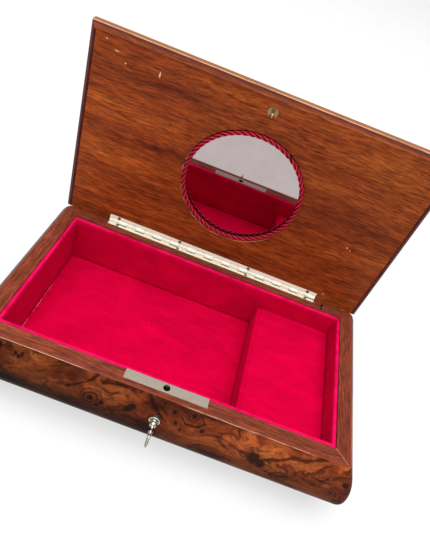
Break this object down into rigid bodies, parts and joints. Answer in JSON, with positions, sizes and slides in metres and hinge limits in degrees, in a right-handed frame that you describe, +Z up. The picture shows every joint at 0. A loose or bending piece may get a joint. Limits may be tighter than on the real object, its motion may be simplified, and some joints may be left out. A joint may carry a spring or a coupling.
{
  "type": "musical jewelry box",
  "caption": "Rectangular veneered wooden jewelry box with out-curving walls, hinged lid with round mirror, velvet lining, key lock and covered music movement.",
  "frame": {"origin": "middle of the front wall's bottom face, on which the box rests", "axes": "+X right along the hinge, +Y from the front to the back, +Z up"},
  "size_m": [0.2428, 0.1613, 0.1806],
  "materials": {
    "mahogany": "satin lacquered mahogany",
    "burl_veneer": "high-gloss lacquered walnut burl",
    "boxwood": "gloss boxwood inlay",
    "plywood": "raw plywood",
    "velvet": "crimson velvet",
    "cord": "twisted red rayon cord",
    "card": "grey pasteboard",
    "mirror": "silvered glass",
    "hinge_plate": "pale plated brass",
    "steel": "plain steel",
    "nickel": "satin nickel plate",
    "lock_steel": "pressed steel",
    "brass": "polished brass",
    "zinc": "cast and machined alloy"
  },
  "bodies": {
    "base": {"front_wall": "mahogany", "back_wall": "mahogany", "left_wall": "mahogany", "right_wall": "mahogany", "front_veneer": "burl_veneer", "back_veneer": "burl_veneer", "left_veneer": "burl_veneer", "right_veneer": "burl_veneer", "bottom_panel": "plywood", "compartment_wall": "velvet", "cover_battens": "plywood", "lining_floor": "velvet", "lining_front": "velvet", "lining_back": "velvet", "lining_left": "velvet", "lining_right": "velvet", "compartment_cover": "velvet", "base_leaf": "hinge_plate", "base_leaf_screws": "hinge_plate", "hinge_pin": "steel", "comb": "steel", "comb_screws": "steel", "movement_screws": "steel", "lock_faceplate": "nickel", "keyhole_bushing": "nickel", "lock_case": "lock_steel", "movement_bedplate": "zinc", "governor_frame": "zinc", "comb_base": "zinc"},
    "lid": {"lid_panel": "mahogany", "lid_edge_front": "mahogany", "lid_edge_rear": "mahogany", "lid_edge_left": "mahogany", "lid_edge_right": "mahogany", "lid_veneer_field": "burl_veneer", "lid_veneer_border": "burl_veneer", "lid_stringing": "boxwood", "mirror_backing": "card", "mirror_glass": "mirror", "mirror_cord": "cord", "strike_stud": "brass", "strike_rosette": "brass", "lid_leaf": "hinge_plate", "lid_leaf_screws": "hinge_plate"},
    "lock_bolt": {"lock_bolt": "steel"},
    "lock_key": {"key": "nickel", "lock_hub": "steel"},
    "stop_lever": {"stop_lever": "steel"},
    "winder": {"winding_arbor": "steel", "winding_key": "brass"},
    "spring_barrel": {"spring_barrel": "brass", "mainspring": "steel"},
    "cylinder": {"cylinder": "brass", "cylinder_arbor": "steel", "cylinder_pinion": "brass", "drive_gear": "brass"},
    "governor_wheel": {"governor_wheel": "brass"},
    "governor_fly": {"governor_fly": "steel"}
  },
  "joints": [
    {"name": "lid_hinge", "type": "hinge", "parent": "base", "child": "lid", "pos_m": [0, 0.1214, 0.049], "axis": [1, 0, 0], "range_deg": [0, 90]},
    {"name": "key_turn", "type": "hinge", "parent": "base", "child": "lock_key", "pos_m": [0.0003, 0, 0.0355], "axis": [0, 1, 0], "range_deg": [0, 90]},
    {"name": "bolt_slide", "type": "slide", "parent": "base", "child": "lock_bolt", "axis": [1, 0, 0], "range_m": [0, 0.005]},
    {"name": "stop_lever_slide", "type": "slide", "parent": "base", "child": "stop_lever", "axis": [0, 0, -1], "range_m": [0, 0.002]},
    {"name": "winding_turn", "type": "hinge", "parent": "base", "child": "winder", "pos_m": [0.064, 0.058, 0], "axis": [0, 0, 1], "continuous": true},
    {"name": "cylinder_turn", "type": "hinge", "parent": "base", "child": "cylinder", "pos_m": [0.064, 0, 0.022], "axis": [0, 1, 0], "continuous": true},
    {"name": "barrel_turn", "type": "hinge", "parent": "base", "child": "spring_barrel", "pos_m": [0.064, 0.058, 0], "axis": [0, 0, 1], "continuous": true},
    {"name": "governor_wheel_turn", "type": "hinge", "parent": "base", "child": "governor_wheel", "pos_m": [0.0719, 0, 0.022], "axis": [0, 1, 0], "continuous": true},
    {"name": "governor_fly_turn", "type": "hinge", "parent": "base", "child": "governor_fly", "pos_m": [0.076, 0.0939, 0], "axis": [0, 0, 1], "continuous": true}
  ],
  "couplings": [
    {"joint": "key_turn", "follows": "bolt_slide", "rad_per_m": 314.16},
    {"joint": "stop_lever_slide", "follows": "lid_hinge", "m_per_rad": 0.0012731},
    {"joint": "barrel_turn", "follows": "cylinder_turn", "ratio": 0.25},
    {"joint": "governor_wheel_turn", "follows": "cylinder_turn", "ratio": -3.5},
    {"joint": "governor_fly_turn", "follows": "cylinder_turn", "ratio": 35}
  ]
}
